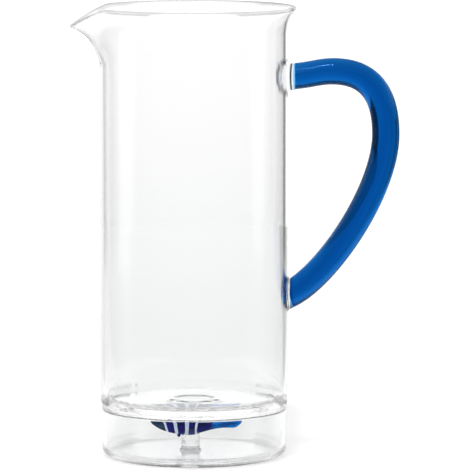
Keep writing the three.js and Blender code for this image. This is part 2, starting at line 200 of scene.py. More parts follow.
class StudioLight(PropertyGroup):
    """Brightness of the studio and the place of the camera."""

    wall_low: level("Wall, low", "Brightness of the wall where it meets the table", 1.07)
    wall_middle: level("Wall, middle", "Brightness of the wall behind the rim", 1.16)
    wall_high: level("Wall, high", "Brightness of the wall above the jug", 1.42)
    right_card: level("Right card", "Share of the wall's light left by it", 0.14)
    left_strip: level("Left strip", "Share of the wall's light left by it", 0.45)
    left_gap: level("Left gap", "Share of the wall's light beside the strip", 0.35)
    left_wall: level("Left wall", "Share of the wall's light further to the left", 0.85)
    room: level("Room", "Brightness of the room behind the camera", 0.05)
    ceiling: level("Ceiling", "Brightness of the ceiling", 0.3)
    table_glow: level("Table glow", "Light that comes through the table top", 0.735)
    # Painted shade: the table is painted darker close to the jug
    table_near_shade: level("Table, near", "Share of the table's light close to the jug", 0.887)
    softbox_power: level("Softbox", "Power of the softbox, watts", 27)
    samples_seed: IntProperty(name="Seed", description="Seed of the render's noise", default=3)
    camera_distance: size("Distance", "From the jug's axis to the camera", 2376)
    camera_height: size("Height", "Height of the camera", 392)
    aim_height: size("Aim height", "Height that the camera is aimed at", 118.1)
    camera_side: size("Side", "Place of the camera along X", 21.8)
    lens: FloatProperty(name="Lens", description="Focal length, millimetres", default=344)


class Outline:
    """Points of a flat outline, gathered from straight runs, arcs and cubic curves, each cut
    into its own number of steps."""

    def __init__(self, across, up):
        self.parts = [np.array([[across, up]])]

    def line(self, across, up, steps):
        """Straight run: even steps from the last point to the new one."""
        share = np.arange(1, steps + 1)[:, None] / steps
        last = self.parts[-1][-1]
        self.parts.append(last + share * (np.array([across, up]) - last))

    def arc(self, across, up, radius, start, end, steps):
        """Arc: centre plus radius times the cosine and sine of even angles from start to end."""
        angle = np.linspace(start, end, steps + 1)
        ring = np.stack([np.cos(angle), np.sin(angle)], 1) * radius
        self.parts.append(ring + np.array([across, up]))

    def curve(self, first, second, end, steps):
        """Cubic curve from the last point by two pulls to the end."""
        share = np.arange(1, steps + 1) / steps
        self.parts.append(cubic(self.parts[-1][-1], first, second, end, share))

    def points(self):
        """All points, with any that repeat the one before them left out."""
        joined = np.vstack(self.parts)
        step = np.hypot(*np.diff(joined, axis=0).T)
        return joined[np.concatenate([[True], step > 1e-9])]


def cubic(start, first, second, end, share):
    """Points of the cubic curve: the four points weighed by the cubic's four terms."""
    start, first, second, end = (np.asarray(p, float) for p in (start, first, second, end))
    t = np.asarray(share)[:, None]
    return ((1 - t) ** 3 * start + 3 * (1 - t) ** 2 * t * first
            + 3 * (1 - t) * t ** 2 * second + t ** 3 * end)


def ease(share):
    """Smooth rise from 0 to 1: three squares less two cubes of the bounded share."""
    bounded = np.clip(share, 0, 1)
    return bounded * bounded * (3 - 2 * bounded)


def even_angles(columns):
    """Even angles once round, from 0."""
    return 2 * np.pi * np.arange(columns) / columns


def revolved(points, columns):
    """Grid of a profile turned about Z: radius times cosine and sine of even angles, height."""
    angle = even_angles(columns)
    radius, height = points[:, :1], points[:, 1:]
    return np.stack([
        radius * np.cos(angle), radius * np.sin(angle), height + 0 * angle], 2)


def skin_piece(name, grid, closed_rows=False):
    """Mesh over a grid of rows and columns. Columns always close on themselves. Rows close on
    themselves too for a ring, and otherwise the first and last row are poles."""
    columns = grid.shape[1]
    body = grid if closed_rows else grid[1:-1]
    index = np.arange(len(body) * columns).reshape(len(body), columns)
    near = index if closed_rows else index[:-1]
    far = np.roll(index, -1, 0) if closed_rows else index[1:]
    faces = np.stack(
        [near, np.roll(near, -1, 1), np.roll(far, -1, 1), far], 2).reshape(-1, 4).tolist()
    points = body.reshape(-1, 3)
    if not closed_rows:
        first, last = len(points), len(points) + 1
        points = np.vstack([points, grid[0].mean(0), grid[-1].mean(0)])
        low, high = index[0], index[-1]
        faces += np.stack([np.full(columns, first), np.roll(low, -1), low], 1).tolist()
        faces += np.stack([np.full(columns, last), high, np.roll(high, -1)], 1).tolist()
    mesh = bpy.data.meshes.new(name)
    mesh.from_pydata(points.tolist(), [], faces)
    mesh.update()
    mesh.shade_smooth()
    mesh.set_sharp_from_angle(angle=SHARP_ANGLE)
    piece = bpy.data.objects.new(name, mesh)
    bpy.context.scene.collection.objects.link(piece)
    return piece


def finish_piece(piece, material, node):
    """Gives a piece its material, lets it ride on the jug and stand for its CAD node."""
    piece.data.materials.append(material)
    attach(piece, "root")
    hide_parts(node)


def mark_points(piece, **marks):
    """Stores a number for each point of the piece's grid, poles last, under each mark's name. A
    mark is a column with a number for each row, or a whole grid of them."""
    for name, share in marks.items():
        columns = (len(piece.data.vertices) - 2) // (len(share) - 2)
        whole = np.broadcast_to(share, (len(share), columns))
        values = np.concatenate([whole[1:-1].ravel(), whole[[0, -1], 0]])
        piece.data.attributes.new(name, "FLOAT", "POINT").data.foreach_set("value", values)


def math_method(operation, reflected=False):
    """A method that adds one Math node, with its two sides swapped for a reflected form."""
    def method(self, other):
        sides = (other, self) if reflected else (self, other)
        return self.tree.math(operation, *sides)
    return method


class Value:
    """One output of a shader tree. Arithmetic on it adds Math nodes."""

    __add__, __radd__ = math_method("ADD"), math_method("ADD", True)
    __sub__, __rsub__ = math_method("SUBTRACT"), math_method("SUBTRACT", True)
    __mul__, __rmul__ = math_method("MULTIPLY"), math_method("MULTIPLY", True)
    __truediv__ = math_method("DIVIDE")
    __gt__ = math_method("GREATER_THAN")
    __lt__ = math_method("LESS_THAN")
    either = math_method("MAXIMUM")
    angle_from = math_method("ARCTAN2")

    def __init__(self, tree, socket):
        self.tree = tree
        self.socket = socket

    def __abs__(self):
        return self.tree.math("ABSOLUTE", self)


class Outputs:
    """The outputs of one node, by name or number."""

    def __init__(self, tree, made):
        self.tree = tree
        self.made = made

    def __getitem__(self, key):
        return Value(self.tree, self.made.outputs[key])


class Tree:
    """A shader tree of a material or a world."""

    def __init__(self, owner):
        owner.use_nodes = True
        self.nodes = owner.node_tree.nodes
        self.links = owner.node_tree.links
        self.nodes.clear()

    def node(self, kind, sockets=None, **settings):
        """Adds a node of a kind: its settings first, then its sockets' values and links."""
        made = self.nodes.new("ShaderNode" + kind)
        for key, value in settings.items():
            setattr(made, key, value)
        for key, value in (sockets or {}).items():
            if isinstance(value, Value):
                self.links.new(value.socket, made.inputs[key])
            else:
                made.inputs[key].default_value = value
        return Outputs(self, made)

    def math(self, operation, *values):
        """One Math node over values and numbers."""
        return self.node("Math", dict(enumerate(values)), operation=operation)[0]

    def mark(self, name):
        """The number that is stored under this name for each point."""
        return self.node("Attribute", attribute_name=name)["Fac"]

    def mix_colours(self, factor, first, second):
        """Colour between first and second by the factor."""
        sockets = {0: factor, 6: opaque(first), 7: opaque(second)}
        return self.node("Mix", sockets, data_type="RGBA")["Result"]

    def mix_shaders(self, factor, first, second):
        """Shader between first and second by the factor."""
        return self.node("MixShader", {0: factor, 1: first, 2: second})["Shader"]

    def noise(self, where, scale, detail):
        """Cloudy pattern from 0 to 1."""
        return self.node("TexNoise", {"Vector": where, "Scale": scale, "Detail": detail})["Fac"]

    def stretched(self, where, scale):
        """The vector with each part multiplied by its own number."""
        return self.node("Mapping", {"Vector": where, "Scale": scale})["Vector"]

    def smooth_step(self, value, start, end, from_value=0.0, to_value=1.0):
        """Smooth change between two values while the input goes from start to end."""
        return self.node("MapRange", {
            "Value": value, "From Min": start, "From Max": end, "To Min": from_value,
            "To Max": to_value}, interpolation_type="SMOOTHSTEP")["Result"]

    def turn_step(self, value, start, end, *values):
        """Smooth change while an angle goes from start to end, which are in degrees."""
        return self.smooth_step(value, math.radians(start), math.radians(end), *values)

    def bump(self, height, strength, distance):
        """Normal that is tilted by a height."""
        sockets = {"Height": height, "Strength": strength, "Distance": distance}
        return self.node("Bump", sockets)["Normal"]

    def end(self, **sockets):
        """Links the finished shader to the output."""
        self.node("OutputMaterial", sockets)


def opaque(colour):
    """The colour with a full alpha, or the colour's link as it is."""
    return colour if isinstance(colour, Value) else (*tuple(colour)[:3], 1)


def radius_of(first, second):
    """Distance from the axis: the root of the sum of the two squares."""
    return first.tree.math("SQRT", first * first + second * second)


def new_material(name):
    """A material, its empty shader tree, and Object coordinates whole and in three parts."""
    material = bpy.data.materials.new(name)
    tree = Tree(material)
    where = tree.node("TexCoord")["Object"]
    parts = tree.node("SeparateXYZ", {0: where})
    return material, tree, where, parts["X"], parts["Y"], parts["Z"]


WHITE = (1, 1, 1)
BLACK = (0, 0, 0)
POLISHED = {"Roughness": 0.0, "IOR": 1.47}
BLUE_DENSITY = 464.0
BLUE_WITHOUT_GLOSS = 0.55
# Painted glow of the enamel: an emission that stands in for light passing through it
ENAMEL_PAINTED_GLOW = 0.35


def glass_material(name, fused):
    """Clear drawn glass. It is see-through where it is fused to another piece of glass, and
    partly so by the mark fine_edge. The mark rod_haze tints it pale blue, and the mark thin_line
    tints it dark as painted shade. Its tint, a painted shade that greys it a little towards the
    base, and its faint waves follow Object coordinates."""
    colours = bpy.context.scene.jug_colours
    material, tree, where, x, y, z = new_material(name)
    # Painted shade: the clear glass is tinted a little greyer towards the base
    tint = tree.mix_colours(
        tree.smooth_step(z, 0.05, 0.85 * JUG_HEIGHT), colours.clear_base, colours.clear_top)
    through = tree.node("BsdfTransparent")["BSDF"]
    # The marks mix in their tints; the thin_line mark is painted shade, in the glass and in its
    # see-through part
    for mark, colour in (("rod_haze", colours.haze), ("thin_line", colours.thin_line)):
        share = tree.mark(mark)
        tint = tree.mix_colours(share, tint, colour)
        tinted = tree.node("BsdfTransparent", {"Color": opaque(colour)})["BSDF"]
        through = tree.mix_shaders(share, through, tinted)
    waves = tree.noise(tree.stretched(where, (60, 60, 9)), 1.0, 1.0)
    glass = tree.node("BsdfPrincipled", {
        **POLISHED, "Base Color": tint, "Transmission Weight": 1.0,
        "Normal": tree.bump(waves, 0.05, 0.0004)})["BSDF"]
    mask = fused(x, y, z).either(tree.mark("fine_edge"))
    tree.end(Surface=tree.mix_shaders(mask, glass, through))
    return material


def blue_material(name, fused):
    """Blue glass: the colour comes from the depth of glass that the light crosses, and faint
    waves come from the drawing of the rod. A refraction without gloss darkens its edges, and
    its last two millimetres on the lower weld turn navy."""
    colours = bpy.context.scene.jug_colours
    material, tree, where, x, y, z = new_material(name)
    waves = tree.noise(where, 60.0, 2.0)
    normal = tree.bump(waves, 0.1, 0.0003)
    lower = weld_faces()[1]
    end = tree.smooth_step(radius_of(x, y), lower + 0.8 * MM, lower + 2 * MM, 1.0, 0.0)
    end = end * (z < bpy.context.scene.handle_sizes.bow_height)
    tint = tree.mix_colours(waves, (0.90, 0.94, 0.98), WHITE)
    glass = tree.node("BsdfPrincipled", {
        **POLISHED, "Base Color": tree.mix_colours(end, tint, colours.blue_end),
        "Transmission Weight": 1.0, "Specular Tint": (0.15, 0.45, 1, 1),
        "Normal": normal})["BSDF"]
    bent = tree.node("BsdfRefraction", {
        **POLISHED, "Color": opaque(WHITE), "Normal": normal})["BSDF"]
    glass = tree.mix_shaders(BLUE_WITHOUT_GLOSS, glass, bent)
    through = tree.node("BsdfTransparent")["BSDF"]
    depth = tree.node(
        "VolumeAbsorption", {"Color": opaque(colours.blue), "Density": BLUE_DENSITY})
    tree.end(
        Surface=tree.mix_shaders(fused(x, y, z), glass, through), Volume=depth["Volume"])
    return material


def enamel_material(name, colour, streak, roughness):
    """Coloured glass with cloudy streaks along the fish. It has a painted glow, an emission of
    its own colour that stands in for the light that passes through it."""
    material, tree, where, *_ = new_material(name)
    cloud = tree.noise(tree.stretched(where, (180, 420, 420)), 1.0, 3.0)
    tone = tree.mix_colours(tree.smooth_step(cloud, 0.4, 0.65), colour, streak)
    # Painted glow: the enamel emits its own colour
    tree.end(Surface=tree.node("BsdfPrincipled", {
        "Base Color": tone, "Emission Color": tone, "Emission Strength": ENAMEL_PAINTED_GLOW,
        "Roughness": tree.smooth_step(cloud, 0.2, 0.8, roughness, roughness + 0.08),
        "Specular IOR Level": 0.12,
        "Normal": tree.bump(cloud, 0.15, 0.0003)})["BSDF"])
    return material


# Places where two pieces of glass are fused, as masks over Object coordinates

SEAM_INSIDE = 45.9 * MM
TOUCH = 0.02 * MM
WALL_TOUCH = 0.05 * MM
FLOOR_TOUCH = 0.1 * MM


def weld_faces():
    """Where the rod starts on the upper weld, along X, and on the lower weld, as a radius."""
    tube = bpy.context.scene.jug_sizes.tube_radius
    handle = bpy.context.scene.handle_sizes
    return tube + handle.upper_reach, tube + handle.lower_reach


def vessel_fused(x, y, z):
    """Mask of the jug's outside under the base's rim and under the two welds."""
    radius = radius_of(x, y)
    tube = bpy.context.scene.jug_sizes.tube_radius
    mask = (radius > SEAM_INSIDE) * (z < seam_top())
    outside = (radius > tube - WALL_TOUCH) * (x > 0)
    for middle, foot, stretch in (
            (UPPER_WELD_Z, upper_profile()[0][1], 1.0),
            (LOWER_WELD_Z, lower_profile()[0][1], LOWER_STRETCH)):
        mask = mask.either(outside * (radius_of(y, (z - middle) / stretch) < foot))
    return mask


def cup_fused(x, y, z):
    """Mask of the cup's rim and of the place under the post's foot."""
    sizes = bpy.context.scene.jug_sizes
    foot = radius_of(x - POST_X, y) < sizes.post_foot_radius
    floor = (z > sizes.cup_floor - FLOOR_TOUCH) * (z < sizes.cup_floor + FLOOR_TOUCH)
    return (z > CHAMBER_TOP - TOUCH).either(foot * floor)


def bead_fused(x, y, z):
    """Mask of the bead's inner faces."""
    return radius_of(x, y) < CUP_RADIUS - WALL_TOUCH


def post_fused(x, y, z):
    """Mask of the post's foot."""
    return z < bpy.context.scene.jug_sizes.cup_floor + TOUCH


def upper_weld_fused(x, y, z):
    """Mask of the upper weld's face on the tube and of its flat face on the rod."""
    foot = bpy.context.scene.jug_sizes.tube_radius
    return (x > weld_faces()[0] - TOUCH).either(radius_of(x, y) < foot + TOUCH)


def lower_weld_fused(x, y, z):
    """Mask of the lower weld's two round faces."""
    foot = bpy.context.scene.jug_sizes.tube_radius
    radius = radius_of(x, y)
    return (radius > weld_faces()[1] - TOUCH).either(radius < foot + TOUCH)


def handle_fused(x, y, z):
    """Mask of the rod's two ends."""
    upper, lower = weld_faces()
    top = (x < upper + TOUCH) * (z > bpy.context.scene.handle_sizes.bow_height)
    return top.either(radius_of(x, y) < lower + TOUCH)


# Vessel

SPOUT_PINCH = 0.35
SPOUT_SHARPNESS = 1.35
SPOUT_ROOT_PULL = 2 * MM
SPOUT_PULL = 6.4 * MM
SPOUT_LIP_PULL = 3.4 * MM
FILLET_WAVE = 0.05 * MM
HEEL_WAVE = 0.25 * MM


def vessel_profile(sizes):
    """Profile from the underside's middle, round the heel, up the wall, over the flared lip and
    down inside to the floor's middle."""
    tube = sizes.tube_radius
    flare_angle = 2 * math.atan(sizes.rim_flare / sizes.rim_flare_height)
    flare_radius = sizes.rim_flare_height / math.sin(flare_angle)
    lip = sizes.wall / 2
    flare_start = JUG_HEIGHT - lip - (flare_radius + lip) * math.sin(flare_angle)
    flare_middle = tube + flare_radius
    lip_middle = flare_middle - (flare_radius + lip) * math.cos(flare_angle)
    spout_root = JUG_HEIGHT - sizes.spout_depth
    heel = sizes.heel_radius
    floor_top = CHAMBER_TOP + sizes.floor_thickness
    fillet = sizes.floor_fillet
    inner = tube - sizes.wall

    outline = Outline(0, CHAMBER_TOP)
    outline.line(tube - heel, CHAMBER_TOP, 14)
    outline.arc(tube - heel, CHAMBER_TOP + heel, heel, -math.pi / 2, 0, 14)
    outline.line(tube, spout_root, 60)
    outline.line(tube, flare_start, 14)
    outline.arc(flare_middle, flare_start, flare_radius, math.pi, math.pi - flare_angle, 16)
    outline.arc(lip_middle, JUG_HEIGHT - lip, lip, -flare_angle, math.pi - flare_angle, 12)
    outline.arc(
        flare_middle, flare_start, flare_radius + sizes.wall,
        math.pi - flare_angle, math.pi, 16)
    outline.line(inner, spout_root, 14)
    outline.line(inner, floor_top + fillet, 60)
    outline.arc(inner - fillet, floor_top + fillet, fillet, 0, -math.pi / 2, 18)
    outline.line(sizes.ring_radius + sizes.ring_width / 2, floor_top, 8)
    across = np.linspace(1, 0, 15)[1:]
    outline.parts.append(np.stack([
        sizes.ring_radius + sizes.ring_width * (across - 0.5),
        floor_top + sizes.ring_height * np.sin(np.pi * across) ** 2], 1))
    outline.line(0, floor_top, 6)
    return outline.points()


def draw_spout(grid, sizes):
    """Pulls the wall out and down towards -X. The pull is a power of the raised cosine of the
    angle from the spout's middle. What it carries follows one cubic curve from the tube to the
    lip, and its angle narrows by a share of its sine."""
    x, y, z = np.moveaxis(grid, -1, 0)
    even = np.arctan2(y, -x)
    angle = even - SPOUT_PINCH * np.sin(even)
    share = np.clip(1 + (z - JUG_HEIGHT) / sizes.spout_depth, 0, 1)
    line = cubic(
        (0, -sizes.spout_depth),
        (SPOUT_ROOT_PULL, -sizes.spout_depth + SPOUT_PULL),
        (sizes.spout_reach - SPOUT_PULL, -sizes.spout_drop - SPOUT_LIP_PULL),
        (sizes.spout_reach, -sizes.spout_drop), share.ravel()).reshape(*share.shape, 2)
    turn = np.minimum(1, np.abs(angle) / sizes.spout_half_angle)
    pull = ((1 + np.cos(np.pi * turn)) / 2) ** SPOUT_SHARPNESS
    out = np.hypot(x, y) + pull * line[..., 0]
    down = pull * (line[..., 1] + sizes.spout_depth * (1 - share))
    return np.stack([-out * np.cos(angle), out * np.sin(angle), z + down], -1)


def ripple(angle, seed):
    """Uneven waves round the jug: four sines of different length, weight and phase."""
    phase = np.array([0.3, 1.9, 4.1, 5.2]) + seed
    count = np.array([23, 37, 52, 71])
    weight = np.array([0.4, 0.5, 0.6, 0.35])
    return (weight * np.sin(count * angle[..., None] + phase)).sum(-1)


def ripple_fillet(grid, sizes):
    """Moves the inner fillet and the outer heel in and out by the uneven waves, fading to
    nothing at both ends of each, as a seam worked in the flame has it."""
    x, y, z = np.moveaxis(grid, -1, 0)
    radius = np.hypot(x, y)
    floor_top = CHAMBER_TOP + sizes.floor_thickness
    half_wall = sizes.tube_radius - sizes.wall / 2
    inside = (radius > sizes.tube_radius - sizes.wall - sizes.floor_fillet) * (radius < half_wall)
    rise = np.clip((z - floor_top) / (1.6 * sizes.floor_fillet), 0, 1)
    heel_rise = np.clip((z - seam_top()) / (3.5 * MM), 0, 1)
    depth = FILLET_WAVE * inside * np.sin(np.pi * rise) ** 2
    depth = depth + HEEL_WAVE * (radius > half_wall) * np.sin(np.pi * heel_rise) ** 2
    push = 1 + depth * ripple(np.arctan2(y, x), 0) / np.maximum(radius, MM)
    return np.stack([x * push, y * push, z], -1)


# Marks of the jug: shares of the light that pass straight through its fine polished edges and the
# oval round its upper weld, and shares of the painted shade
LIP_CLEAR = 0.9
LIP_CLEAR_NEAR = 0.84
LIP_CLEAR_LOST = 0.49
LIP_BAND = 2.6 * MM
LIP_FADE = 1.2 * MM
HEEL_CLEAR_NEAR = 0.35
HEEL_CLEAR_UNEVEN = 0.25
HEEL_CLEAR_FAR = 0.95
HEEL_INSIDE = 43 * MM
HEEL_BAND = 5.5 * MM
HEEL_FADE = 3 * MM
OVAL_CLEAR = 0.87
OVAL_X = 52.5 * MM
OVAL_ACROSS = 6.4 * MM
OVAL_UP = 10 * MM
OVAL_LEAN = 0.08
OVAL_EDGE = 0.96
OVAL_FADE = 0.06
RIM_LINE = 0.5 * MM
RIM_PAINTED_SHADE = (0.1, 0.22, 0.4)
HEEL_PAINTED_SHADE = (0.04, 0.07)


def vessel_marks(profile, grid, tube_radius):
    """Marks of the jug's points. Clear are a band at the lip, less so on the far side, the heel,
    unevenly so on the near side, and an oval round the upper weld. Painted shade are the rim's
    dark line, a bell of the height that grows to the far side and the right, and the heel's far
    side, more on the left."""
    x, y, z = np.moveaxis(grid, -1, 0)
    height = profile[:, 1:]
    far = ease(0.5 + y / (30 * MM))
    lip = LIP_CLEAR * ease((height - JUG_HEIGHT + LIP_BAND) / LIP_FADE)
    lip = lip * (LIP_CLEAR_NEAR - LIP_CLEAR_LOST * far)
    heel = 1 - ease((height - CHAMBER_TOP - HEEL_BAND) / HEEL_FADE)
    heel = (profile[:, :1] > HEEL_INSIDE) * heel
    outer = np.arange(len(profile))[:, None] < len(profile) / 2
    waves = HEEL_CLEAR_UNEVEN * np.clip(ripple(np.arctan2(y, x), 1), -1, 1)
    waves = waves * outer * (z < CHAMBER_TOP + 5 * MM) * ease((np.abs(x) - 28 * MM) / (8 * MM))
    away = np.hypot((x - OVAL_X) / OVAL_ACROSS, (z + OVAL_LEAN * y - UPPER_WELD_Z) / OVAL_UP)
    oval = OVAL_CLEAR * (1 - ease((away - OVAL_EDGE) / OVAL_FADE)) * (x > 0)
    clear = heel * np.where(y < 0, HEEL_CLEAR_NEAR + waves, HEEL_CLEAR_FAR)
    clear = np.maximum(np.maximum(lip, clear), oval)
    # Painted shade: the dark line round the rim, and the grey on the heel's far side
    all_round, on_far_side, on_right = RIM_PAINTED_SHADE
    rim = np.exp(-((height - JUG_HEIGHT) / RIM_LINE) ** 2)
    rim = rim * (all_round + far * (on_far_side + on_right * ease(x / tube_radius)))
    all_far_side, on_left = HEEL_PAINTED_SHADE
    shade = heel * (y >= 0) * (all_far_side + on_left * ease((-x - 30 * MM) / (15 * MM)))
    return {"fine_edge": clear, "thin_line": np.maximum(rim, shade)}


class JUG_OT_vessel(Operator):
    """Builds the tube with its floor, flared rim and drawn spout."""

    bl_idname = "jug.vessel"
    bl_label = "Vessel"

    def execute(self, context):
        sizes = context.scene.jug_sizes
        profile = vessel_profile(sizes)
        grid = ripple_fillet(draw_spout(revolved(profile, ROUND_COLUMNS), sizes), sizes)
        piece = skin_piece("vessel_glass", grid)
        mark_points(piece, **vessel_marks(profile, grid, sizes.tube_radius))
        finish_piece(piece, glass_material("clear_tube", vessel_fused), "vessel")
        return {"FINISHED"}


# Seam, base cup and post

BEAD_WAVE = 0.12 * MM
RIPPLE_MOST = 1.85
FLOOR_MARK_HEIGHT = 5 * MM
CUP_CORNER_CLEAR = 0.25
# Painted shade of the base cup's floor and of its wall's left and right side
CUP_FLOOR_PAINTED_SHADE = 0.13
CUP_LEFT_PAINTED_SHADE = 0.07
CUP_RIGHT_PAINTED_SHADE = 0.03


def seam_top():
    """Height where the cup's radius meets the vessel's round heel."""
    sizes = bpy.context.scene.jug_sizes
    across = CUP_RADIUS - (sizes.tube_radius - sizes.heel_radius)
    return (CHAMBER_TOP + sizes.heel_radius
            - math.sqrt(sizes.heel_radius ** 2 - across ** 2))


class JUG_OT_seam(Operator):
    """Builds the bead of glass that fills the notch between the heel and the cup. Uneven waves,
    never inwards, swell its outer face most at half its height."""

    bl_idname = "jug.seam"
    bl_label = "Seam bead"

    def execute(self, context):
        sizes = context.scene.jug_sizes
        middle = sizes.tube_radius - sizes.heel_radius
        top = seam_top()
        high_angle = -math.acos((CUP_RADIUS - middle) / sizes.heel_radius)
        outline = Outline(middle, CHAMBER_TOP)
        outline.line(CUP_RADIUS, CHAMBER_TOP, 6)
        outline.line(CUP_RADIUS, top, 8)
        outline.arc(
            middle, CHAMBER_TOP + sizes.heel_radius, sizes.heel_radius,
            high_angle, -math.pi / 2, 12)
        grid = revolved(outline.points()[:-1], CUP_COLUMNS)
        angle = np.arctan2(grid[..., 1], grid[..., 0])
        face = np.hypot(grid[..., 0], grid[..., 1]) > CUP_RADIUS - 0.01 * MM
        bulge = np.sin(np.pi * np.clip((grid[..., 2] - CHAMBER_TOP) / (top - CHAMBER_TOP), 0, 1))
        wave = BEAD_WAVE * (ripple(angle, 2) + RIPPLE_MOST) * face * bulge
        grid[..., 0] += wave * np.cos(angle)
        grid[..., 1] += wave * np.sin(angle)
        piece = skin_piece("seam_glass", grid, closed_rows=True)
        finish_piece(piece, glass_material("clear_seam", bead_fused), "seam_bead")
        return {"FINISHED"}


def cup_profile(sizes):
    """Profile from the underside's middle, round the corner, up the wall, over the flat rim and
    down inside to the floor's middle."""
    inside = CUP_RADIUS - sizes.cup_wall
    fillet = sizes.cup_weld
    fillet_middle = inside - fillet
    fillet_top = CHAMBER_TOP - 0.4 * MM
    corner = sizes.cup_corner
    inner = sizes.cup_inner_corner
    outline = Outline(0, 0)
    outline.line(CUP_RADIUS - corner, 0, 12)
    outline.arc(CUP_RADIUS - corner, corner, corner, -math.pi / 2, 0, 18)
    outline.line(CUP_RADIUS, CHAMBER_TOP, 12)
    outline.line(fillet_middle, CHAMBER_TOP, 4)
    outline.line(fillet_middle, fillet_top, 1)
    outline.arc(fillet_middle, fillet_top - fillet, fillet, math.pi / 2, 0, 14)
    outline.line(inside, sizes.cup_floor + inner, 10)
    outline.arc(inside - inner, sizes.cup_floor + inner, inner, 0, -math.pi / 2, 14)
    outline.line(0, sizes.cup_floor, 12)
    return outline.points()


def cup_marks(profile, grid):
    """Marks of the cup's points. Clear is its lower corner. Faint painted shade lies on the
    floor, which fades out before the corner, and on the wall's left and right side."""
    radius, height = profile[:, :1], profile[:, 1:]
    corner = (radius > 40 * MM) * (height < 6 * MM)
    floor = (1 - ease((radius - 32 * MM) / (7 * MM))) * (height < FLOOR_MARK_HEIGHT)
    wall = (radius > 45 * MM) * (height > FLOOR_MARK_HEIGHT)
    x = grid[..., 0]
    sides = (CUP_LEFT_PAINTED_SHADE * ease((-x - 26 * MM) / (8 * MM))
             + CUP_RIGHT_PAINTED_SHADE * ease((x - 30 * MM) / (8 * MM)))
    return {"fine_edge": CUP_CORNER_CLEAR * corner,
            "thin_line": np.maximum(CUP_FLOOR_PAINTED_SHADE * floor, sides * wall)}


class JUG_OT_base_cup(Operator):
    """Builds the short cup that closes the display chamber."""

    bl_idname = "jug.base_cup"
    bl_label = "Base cup"

    def execute(self, context):
        profile = cup_profile(context.scene.jug_sizes)
        grid = revolved(profile, CUP_COLUMNS)
        piece = skin_piece("base_glass", grid)
        mark_points(piece, **cup_marks(profile, grid))
        finish_piece(piece, glass_material("clear_base", cup_fused), "base_cup")
        return {"FINISHED"}


class JUG_OT_post(Operator):
    """Builds the clear post: a rod with a flared foot, whose top runs into the fish."""

    bl_idname = "jug.post"
    bl_label = "Post"

    def execute(self, context):
        sizes = context.scene.jug_sizes
        fish = context.scene.fish_sizes
        foot, post = sizes.post_foot_radius, sizes.post_radius
        low = sizes.cup_floor
        rise = 2 * MM
        top = fish.axis_height - fish.belly / 2
        outline = Outline(0, low)
        outline.line(foot, low, 4)
        outline.curve((foot, low + rise / 2), (post, low + rise / 2), (post, low + rise), 10)
        outline.line(post, top, 10)
        outline.line(0, top, 4)
        grid = revolved(outline.points(), POST_COLUMNS)
        grid[..., 0] += POST_X
        piece = skin_piece("post_glass", grid)
        finish_piece(piece, glass_material("clear_post", post_fused), "post")
        return {"FINISHED"}


# Fish

# Stretches of the fish from nose to tail, with the share of its length where each one ends
FISH_STRETCHES = (
    ("head", 0.143), ("band_1", 0.168), ("body_1", 0.25), ("band_2", 0.288), ("body_2", 0.378),
    ("band_3", 0.421), ("body_3", 0.493), ("band_4", 0.519), ("body_4", 0.679), ("tail", 1.0))

# Finish of each kind of stretch: its colour, the word that its names end in, its roughness, and
# its slot
FISH_FINISHES = {
    "head": ("slate", "enamel", 0.12, "slate_glass"),
    "body": ("indigo", "enamel", 0.1, "indigo_glass"),
    "band": ("white", "enamel", 0.14, "white_glass"),
    "tail": ("tail", "glass", 0.08, "light_blue_glass"),
}

WIDEST_SHARE = 0.42
NOSE_SHARE = 0.395
TAIL_ROOT_SHARE = 0.84
TAIL_ROUND_SHARE = 0.93
FORK_SHARE = 0.9
FORK_DEPTH = 2.6 * MM
FISH_LEAN = 0.36
FISH_RINGS = 220
FEWEST_RINGS = 8
FIN_ROWS = 28
EYE_ROWS = 20
FIN_THICKNESS = 1.6 * MM


def fish_section(share, fish):
    """Half sizes of the fish's section: a round nose, an eased taper and a round tail end."""
    nose = np.sqrt(np.clip(1 - (np.clip(NOSE_SHARE - share, 0, None) / NOSE_SHARE) ** 2, 0, 1))
    taper = 1 - ease((share - WIDEST_SHARE) / (TAIL_ROOT_SHARE - WIDEST_SHARE))
    end = np.clip((share - TAIL_ROUND_SHARE) / (1 - TAIL_ROUND_SHARE), 0, 1)
    both = nose * np.sqrt(1 - end * end)
    belly = both * (fish.tail_drop + (fish.belly - fish.tail_drop) * taper)
    back = both * (fish.tail_rise + (fish.back - fish.tail_rise) * taper)
    side = both * (fish.tail_side + (fish.side - fish.tail_side) * taper)
    return belly, back, side


def fish_points(share, angle, swell, fish):
    """Fish skin: the section's ellipse at each share, leaning a little along the body."""
    belly, back, side = fish_section(share, fish)
    up = np.sin(angle)
    rise = (np.where(up > 0, back, belly) + swell) * up
    lean = FISH_LEAN * np.sin(np.pi * (share - NOSE_SHARE))
    return np.stack([
        FISH_NOSE + FISH_LENGTH * share + lean * rise,
        (side + swell) * np.cos(angle),
        fish.axis_height + rise], -1)


def fish_slice(start, end, fish, swell):
    """Grid of one slice with flat ends: rings of the skin between two poles. Rings crowd
    towards the nose and the tail's end, which is notched for its fork."""
    rings = max(FEWEST_RINGS, int((end - start) * FISH_RINGS))
    across = np.linspace(0, 1, rings)
    if start == 0:
        across = 1 - np.cos(np.pi / 2 * across)
    elif end == 1:
        across = np.sin(np.pi / 2 * across)
    share = (start + (end - start) * across)[:, None]
    angle = even_angles(FISH_COLUMNS)[None, :]
    bulge = swell * np.sin(np.pi * across)[:, None] ** 0.5
    skin = fish_points(share + 0 * angle, angle + 0 * share, bulge + 0 * angle, fish)
    if end == 1:
        notch = 1 - np.abs(np.sin(angle))
        skin[..., 0] -= FORK_DEPTH * notch * ease((share - FORK_SHARE) / (1 - FORK_SHARE))
    poles = [np.broadcast_to(skin[i].mean(0), skin[i].shape) for i in (0, -1)]
    if start == 0:
        skin = skin[1:]
    elif end == 1:
        skin = skin[:-1]
    return np.concatenate([poles[0][None], skin, poles[1][None]])


